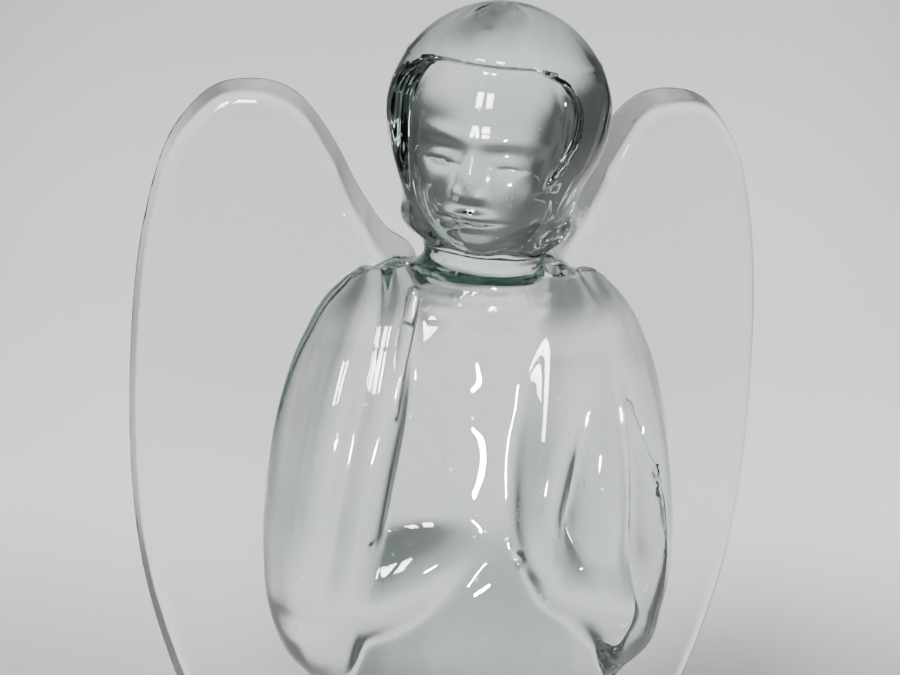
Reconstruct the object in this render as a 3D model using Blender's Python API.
"""Crystal glass angel figurine, 200 mm tall.

The figurine is one clear casting. It is modelled here as its sculpted regions: skirt,
bodice, sleeves, hands, collar, neck, head, hair and two wings. Each region is one closed
solid, and neighbours keep a gap of 0.3 mm along the creases between them.

The front faces -Y, +X is the viewer's right, +Z is up, and the origin is on the flat
underside, below the middle of the whole figure. Blender works in metres; the dimensions
below are in millimetres.
"""

import math

import bmesh
import bpy
from mathutils import Matrix, Vector

MM = 0.001

# Driving dimensions, mm
GAP = 0.3                     # between neighbouring regions
WAIST_Z = 92.0                # skirt below, bodice above
COLLAR_Z = (143.3, 146.7)     # bottom and top of the neckline band
NECK_Z = (147.0, 166.0)
AXIS_Y = -2.0                 # the body's axis, forward of the middle of the whole depth
WING_Y = 10.0                 # where the wings' middle planes would meet, behind that axis
WING_SWEEP = 0.2              # how far the wings run back for each step outwards
WING_TIP_X = 63.0             # half of the span
WING_ROOT_X = 9.0             # the inner edge, buried in the body
WING_ROOT_HALF = 6.0          # half thickness at the root
WING_EDGE_HALF = 2.8          # half thickness at the outer edge
WING_EDGE_RADIUS = 3.0        # rounding of the wing's rim, at the root's thickness
HEAD_CENTRE = (-0.2, -3.3, 174.5)
HEAD_TURN, HEAD_TILT, HEAD_NOD = 28.0, 4.0, 5.0     # degrees
SKIRT_FOLDS = 9               # broad folds around the hem
SKIRT_FOLD_DEPTH = 1.3        # at the hem, fading to nothing at the waist

# Sections from bottom to top: height, centre x, centre y, half width, half depth, mm
SKIRT = [
    (0.0, 0, 0.0, 34.4, 19.6), (1.4, 0, 0.0, 35.4, 20.6), (12, 0, 0.0, 34.6, 20.2),
    (40, 0, 0.5, 30.8, 18.8), (70, 0, 1.0, 27.4, 17.4), (WAIST_Z - GAP, 0, 1.8, 25.2, 16.4),
]
BODICE = [
    (WAIST_Z, 0, 2.0, 25.2, 16.4), (105, 0, 3.6, 26.0, 16.2), (120, 0, 5.2, 26.8, 15.6),
    (134, 0, 6.0, 26.2, 14.4), (139, 0, 6.2, 22.5, 13.0), (COLLAR_Z[0] - GAP, 0, 5.8, 15.5, 11.6),
]
COLLAR = [
    (COLLAR_Z[0], 0, 4.6, 13.4, 11.8), (145, 0, 4.2, 14.0, 12.4), (COLLAR_Z[1], 0, 4.0, 12.8, 11.4),
]
NECK = [
    (NECK_Z[0], 0, 3.6, 10.8, 10.0), (155, 0, 1.8, 9.6, 9.2), (NECK_Z[1], 0, -0.4, 9.6, 9.2),
]
OUTER_PLEAT = [
    (81, 34.6, 2.6, 1.6, 2.2), (85, 35.6, 2.6, 3.4, 5.0), (96, 35.9, 3.0, 3.6, 7.2),
    (110, 35.0, 3.5, 3.8, 8.0), (124, 32.8, 3.8, 4.0, 8.0), (136, 28.8, 4.2, 4.2, 7.4),
    (144, 24.8, 4.8, 3.6, 5.6), (147.4, 23.4, 5.2, 1.4, 2.6),
]
MIDDLE_PLEAT = [
    (72, 28.6, 0.2, 1.8, 2.8), (76, 30.0, -0.4, 4.4, 6.4), (86, 31.4, -1.0, 6.0, 9.4),
    (98, 31.9, -1.7, 6.4, 10.6), (110, 30.9, -1.6, 6.5, 10.8), (124, 28.6, -0.6, 6.4, 10.2),
    (136, 25.4, 1.4, 5.8, 8.8), (145, 22.4, 3.6, 4.2, 6.2), (149, 21.2, 4.8, 1.6, 2.8),
]
LEFT_INNER_PLEAT = [
    (70, 25.2, -2.0, 1.6, 2.6), (74, 26.0, -2.5, 4.0, 6.0), (86, 26.2, -3.2, 6.0, 9.6),
    (98, 25.8, -3.5, 6.5, 10.6), (110, 24.0, -2.8, 6.8, 10.6), (124, 21.2, -1.2, 6.8, 10.2),
    (136, 18.8, 0.8, 6.2, 9.0), (145, 17.0, 3.0, 4.4, 6.8), (149.4, 16.6, 4.4, 1.6, 3.0),
]
RIGHT_INNER_PLEAT = [
    (70, 26.8, -2.0, 1.6, 2.6), (76, 25.4, -3.0, 4.8, 6.4), (86, 22.4, -4.0, 7.0, 9.6),
    (98, 20.6, -4.5, 7.4, 10.6), (110, 20.6, -3.6, 7.4, 11.0), (124, 19.6, -1.8, 6.9, 10.4),
    (136, 18.2, 0.6, 6.3, 9.2), (145, 16.8, 2.8, 4.6, 6.8), (149.4, 16.4, 4.4, 1.6, 3.0),
]
RIGHT_FRONT_PLEAT = [
    (84, 16.0, -7.2, 2.4, 3.2), (88, 13.2, -7.4, 5.4, 6.8), (94, 10.4, -7.8, 5.8, 8.6),
    (101, 8.8, -7.8, 5.4, 9.2), (111, 9.4, -6.8, 6.4, 9.4), (123, 11.8, -4.2, 8.4, 9.4),
    (134, 13.9, -1.6, 9.8, 8.8), (143, 14.6, 1.4, 8.6, 7.4), (148, 14.6, 3.4, 3.4, 3.6),
]
# In the head's own frame: origin at the head's centre, face towards -Y
HEAD = [
    (-20.2, 0, -6.2, 2.6, 2.8), (-19.0, 0, -6.2, 5.4, 6.0), (-15.0, 0, -5.4, 9.0, 10.2),
    (-9.0, 0, -3.8, 12.2, 13.2), (-2.0, 0, -1.6, 14.6, 15.6), (6.0, 0, 0.2, 15.6, 17.0),
    (13.0, 0, 0.8, 13.6, 15.4), (18.0, 0, 1.0, 8.6, 10.4), (20.4, 0, 1.0, 3.0, 3.6),
]
HAIR = [
    (-21.0, -1.6, 6.2, 13.0, 10.6), (-19.6, -1.6, 5.8, 15.0, 12.6), (-12.0, -1.3, 4.2, 16.8, 15.6),
    (-2.0, -0.8, 2.6, 19.0, 18.2), (6.0, -0.2, 2.0, 20.4, 19.4), (14.0, 0, 1.8, 18.2, 17.8),
    (19.0, 0, 1.8, 14.4, 14.2), (22.4, 0, 1.8, 10.0, 9.9), (24.4, 0, 1.8, 5.8, 5.7),
    (25.2, 0, 1.8, 2.4, 2.4),
]
# The face opening in the hair: a tunnel of half width, half depth, running forwards
FACE_OPENING = [
    (-30, -3.0, -21, 10.6, 18.6), (-16, -2.8, -21, 12.6, 19.4), (-4, -1.8, -21, 15.4, 20.5),
    (6, -0.8, -21, 17.0, 20.5), (11, -0.6, -21, 14.8, 19.4), (14.6, 0, -21, 7.4, 18.6),
]
# Wing outline from the neck around the tip and back to the skirt: x, z, mm
WING = [
    (WING_ROOT_X, 151), (14.5, 155.5), (19, 161.5), (25.6, 172.8), (31.4, 179.8), (41.4, 183),
    (51.6, 178.8), (57.4, 169.4), (60.8, 155.6), (WING_TIP_X, 125), (60.8, 94), (54.4, 69.6),
    (44.6, 49), (32.4, 34), (20, 27), (WING_ROOT_X, 25),
]
HANDS_CENTRE, HANDS_RADII = (0.8, -14.4, 100.5), (5.6, 4.6, 5.0)
# The forearm under each sleeve, on the right; the left one is its mirror
FOREARM_CENTRE, FOREARM_RADII, FOREARM_SLOPE = (14.2, -7.6, 92.8), (16.0, 8.4, 8.1), 32.0

# Mesh density: segments around a section, and the height of one band, mm
ROUND_HEM, ROUND_LARGE, ROUND_SMALL = 54, 36, 16
BAND_LARGE, BAND_SMALL, BAND_HEAD = 10.0, 7.0, 5.0


def clear_scene():
    for item in list(bpy.data.objects):
        bpy.data.objects.remove(item, do_unlink=True)


def new_collection(name):
    group = bpy.data.collections.new(name)
    bpy.context.scene.collection.children.link(group)
    return group


def glass(name):
    """Clear crystal with a faint grey-green cast."""
    material = bpy.data.materials.new(name + "_crystal")
    material.use_nodes = True
    shader = material.node_tree.nodes["Principled BSDF"]
    shader.inputs["Base Color"].default_value = (0.84, 0.88, 0.86, 1.0)
    shader.inputs["Roughness"].default_value = 0.04
    shader.inputs["Metallic"].default_value = 0.0
    shader.inputs["IOR"].default_value = 1.54
    shader.inputs["Transmission Weight"].default_value = 1.0
    return material


def add_object(name, mesh, group):
    item = bpy.data.objects.new(name, mesh)
    group.objects.link(item)
    mesh.shade_smooth()
    mesh.set_sharp_from_angle(angle=math.radians(40))
    return item


def between(rows, height):
    """The section at a height, on a smooth curve through the rows."""
    last = len(rows) - 2
    i = next((k for k in range(last + 1) if height <= rows[k + 1][0]), last)
    low, high = rows[i], rows[i + 1]
    before, after = rows[max(i - 1, 0)], rows[min(i + 2, last + 1)]
    step = high[0] - low[0]
    t = (height - low[0]) / step
    section = []
    for k in range(1, 5):
        leave = (high[k] - before[k]) / (high[0] - before[0]) * step
        arrive = (after[k] - low[k]) / (after[0] - low[0]) * step
        section.append((2 * t**3 - 3 * t**2 + 1) * low[k] + (t**3 - 2 * t**2 + t) * leave
                       + (3 * t**2 - 2 * t**3) * high[k] + (t**3 - t**2) * arrive)
    return section


def heights(rows, band):
    """The rows' own heights, with even bands between them where they lie far apart."""
    levels = [rows[0][0]]
    for low, high in zip(rows, rows[1:]):
        count = max(1, round((high[0] - low[0]) / band))
        levels += [low[0] + (high[0] - low[0]) * (k + 1) / count for k in range(count)]
    return levels


def loft(name, group, rows, grow=0.0, around=ROUND_SMALL, band=BAND_SMALL, side=1,
         ripple=None):
    """A closed solid through level ellipses. Grow widens it all round, for a cutter, and
    side -1 mirrors it in X."""
    mesh = bpy.data.meshes.new(name)
    shape = bmesh.new()
    rings = []
    levels = heights(rows, band)
    for level in levels:
        cx, cy, rx, ry = between(rows, level)
        z = level - grow if level == levels[0] else level + grow if level == levels[-1] else level
        ring = []
        for k in range(around):
            angle = 2 * math.pi * k / around
            extra = grow - (ripple(angle, level) if ripple else 0.0)
            ring.append(shape.verts.new((
                (side * cx + (rx + extra) * math.cos(angle)) * MM,
                (cy + (ry + extra) * math.sin(angle)) * MM, z * MM)))
        rings.append(ring)
    for low, high in zip(rings, rings[1:]):
        for k in range(around):
            j = (k + 1) % around
            shape.faces.new((low[k], low[j], high[j], high[k]))
    shape.faces.new(rings[0][::-1])
    shape.faces.new(rings[-1])
    shape.to_mesh(mesh)
    shape.free()
    return add_object(name, mesh, group)


def skirt_ripple(angle, level):
    """Depth of the folds below the hem's outer line: broad, rounded and fading upwards."""
    fade = max(0.0, 1.0 - level / WAIST_Z)
    return SKIRT_FOLD_DEPTH * fade * (0.5 - 0.5 * math.cos(SKIRT_FOLDS * (angle + math.pi / 2)))


def ball(name, group, centre, radii, grow=0.0, slope=0.0):
    """An ellipsoid; slope turns it about Y, in degrees, lifting its -X end."""
    mesh = bpy.data.meshes.new(name)
    shape = bmesh.new()
    bmesh.ops.create_uvsphere(shape, u_segments=ROUND_SMALL, v_segments=10, radius=1.0)
    size = Matrix.Diagonal([(r + grow) * MM for r in radii] + [1.0])
    turn = Matrix.Rotation(math.radians(slope), 4, "Y")
    shape.transform(Matrix.Translation(Vector(centre) * MM) @ turn @ size)
    shape.to_mesh(mesh)
    shape.free()
    return add_object(name, mesh, group)


def guide(item):
    """Marks an object that only cuts or joins others."""
    item.hide_render = True
    item.display_type = "WIRE"
    return item


def combine(item, others, operation):
    for other in others:
        step = item.modifiers.new(operation.lower() + "_" + other.name, "BOOLEAN")
        step.operation = operation
        step.solver = "EXACT"
        step.object = other


def wing(name, group, side):
    """A flat oval plate with a rounded rim, swept back and thinning evenly outwards."""
    outline = bpy.data.curves.new(name, "CURVE")
    outline.dimensions = "2D"
    outline.fill_mode = "BOTH"
    outline.resolution_u = 3
    outline.extrude = (WING_ROOT_HALF - WING_EDGE_RADIUS) * MM
    outline.bevel_depth = WING_EDGE_RADIUS * MM
    outline.bevel_resolution = 1
    outline.offset = -WING_EDGE_RADIUS * MM
    spline = outline.splines.new("BEZIER")
    spline.bezier_points.add(len(WING) - 1)
    for point, (x, z) in zip(spline.bezier_points, WING):
        point.co = (side * x * MM, z * MM, 0)
        point.handle_left_type = point.handle_right_type = "AUTO"
    spline.use_cyclic_u = True
    source = bpy.data.objects.new(name + "_outline", outline)
    group.objects.link(source)
    source.rotation_euler = (math.pi / 2, 0, 0)
    bpy.context.view_layer.update()
    solid = bpy.data.meshes.new_from_object(
        source.evaluated_get(bpy.context.evaluated_depsgraph_get()))
    solid.transform(source.matrix_world)
    bpy.data.objects.remove(source, do_unlink=True)
    shape = bmesh.new()
    shape.from_mesh(solid)
    bmesh.ops.remove_doubles(shape, verts=shape.verts, dist=0.00001)
    for vertex in shape.verts:
        reach = abs(vertex.co.x) / MM
        out = (reach - WING_ROOT_X) / (WING_TIP_X - WING_ROOT_X)
        half = WING_ROOT_HALF + (WING_EDGE_HALF - WING_ROOT_HALF) * out
        middle = WING_Y + WING_SWEEP * reach
        vertex.co.y = middle * MM + vertex.co.y * half / WING_ROOT_HALF
    bmesh.ops.recalc_face_normals(shape, faces=shape.faces)
    shape.to_mesh(solid)
    shape.free()
    return add_object(name, solid, group)


def build():
    clear_scene()
    parts = new_collection("crystal_angel")
    guides = new_collection("cutters")

    axis = bpy.data.objects.new("body_axis", None)
    pose = bpy.data.objects.new("head_pose", None)
    for empty in (axis, pose):
        parts.objects.link(empty)
    axis.location.y = AXIS_Y * MM
    pose.location = Vector(HEAD_CENTRE) * MM
    pose.rotation_euler = (math.radians(HEAD_NOD), math.radians(HEAD_TILT),
                           -math.radians(HEAD_TURN))

    skirt = loft("skirt", parts, SKIRT, around=ROUND_HEM, band=BAND_LARGE,
                 ripple=skirt_ripple)
    bodice = loft("bodice", parts, BODICE, around=ROUND_LARGE, band=BAND_LARGE)
    collar = loft("collar", parts, COLLAR, around=ROUND_LARGE)
    neck = loft("neck", parts, NECK, around=ROUND_LARGE)
    head = loft("head", parts, HEAD, around=ROUND_LARGE, band=BAND_HEAD)
    hair = loft("hair", parts, HAIR, around=ROUND_LARGE, band=BAND_HEAD)
    hands = ball("hands", parts, HANDS_CENTRE, HANDS_RADII)

    skirt_cut = guide(loft("skirt_cut", guides, SKIRT, grow=GAP, around=ROUND_HEM,
                           band=BAND_LARGE, ripple=skirt_ripple))
    bodice_cut = guide(loft("bodice_cut", guides, BODICE, grow=GAP, around=ROUND_LARGE,
                            band=BAND_LARGE))
    collar_cut = guide(loft("collar_cut", guides, COLLAR, grow=GAP, around=ROUND_LARGE))
    neck_cut = guide(loft("neck_cut", guides, NECK, grow=GAP, around=ROUND_LARGE))
    head_cut = guide(loft("head_cut", guides, HEAD, grow=GAP, around=ROUND_LARGE, band=BAND_HEAD))
    hair_cut = guide(loft("hair_cut", guides, HAIR, grow=GAP, around=ROUND_LARGE, band=BAND_HEAD))
    opening = guide(loft("face_opening", guides, FACE_OPENING, around=ROUND_LARGE, band=BAND_HEAD))
    hands_cut = guide(ball("hands_cut", guides, HANDS_CENTRE, HANDS_RADII, grow=GAP))
    for item in (head, hair, head_cut, hair_cut, opening):
        item.parent = pose

    sleeves, sleeve_cuts = [], []
    pleats_by_side = {
        "left_sleeve": (-1, [MIDDLE_PLEAT, OUTER_PLEAT, LEFT_INNER_PLEAT]),
        "right_sleeve": (1, [MIDDLE_PLEAT, OUTER_PLEAT, RIGHT_INNER_PLEAT,
                             RIGHT_FRONT_PLEAT]),
    }
    for name, (side, pleats) in pleats_by_side.items():
        sleeve = loft(name, parts, pleats[0], side=side)
        others = [guide(loft(f"{name}_pleat_{k}", guides, rows, side=side))
                  for k, rows in enumerate(pleats[1:], 2)]
        forearm = guide(ball(name + "_forearm", guides,
                             (side * FOREARM_CENTRE[0],) + FOREARM_CENTRE[1:], FOREARM_RADII,
                             slope=side * FOREARM_SLOPE))
        combine(sleeve, others + [forearm], "UNION")
        combine(sleeve, [bodice_cut, skirt_cut, collar_cut, neck_cut, hands_cut, hair_cut],
                "DIFFERENCE")
        sleeves.append(sleeve)
        sleeve_cuts += [guide(loft(f"{name}_cut_{k}", guides, rows, grow=GAP, side=side))
                        for k, rows in enumerate(pleats, 1)]

    combine(hands, [bodice_cut, skirt_cut], "DIFFERENCE")
    combine(neck, [head_cut, hair_cut], "DIFFERENCE")
    combine(hair, [opening, head_cut], "DIFFERENCE")

    wings = [wing("left_wing", parts, -1), wing("right_wing", parts, 1)]
    for item in wings:
        combine(item, [bodice_cut, skirt_cut, collar_cut, neck_cut] + sleeve_cuts + [hair_cut],
                "DIFFERENCE")

    for item in [skirt, bodice, collar, neck, head, hair, hands] + sleeves + wings:
        item.data.materials.append(glass(item.name))
    for item in list(parts.objects) + list(guides.objects):
        if item != axis and item.parent is None:
            item.parent = axis


build()
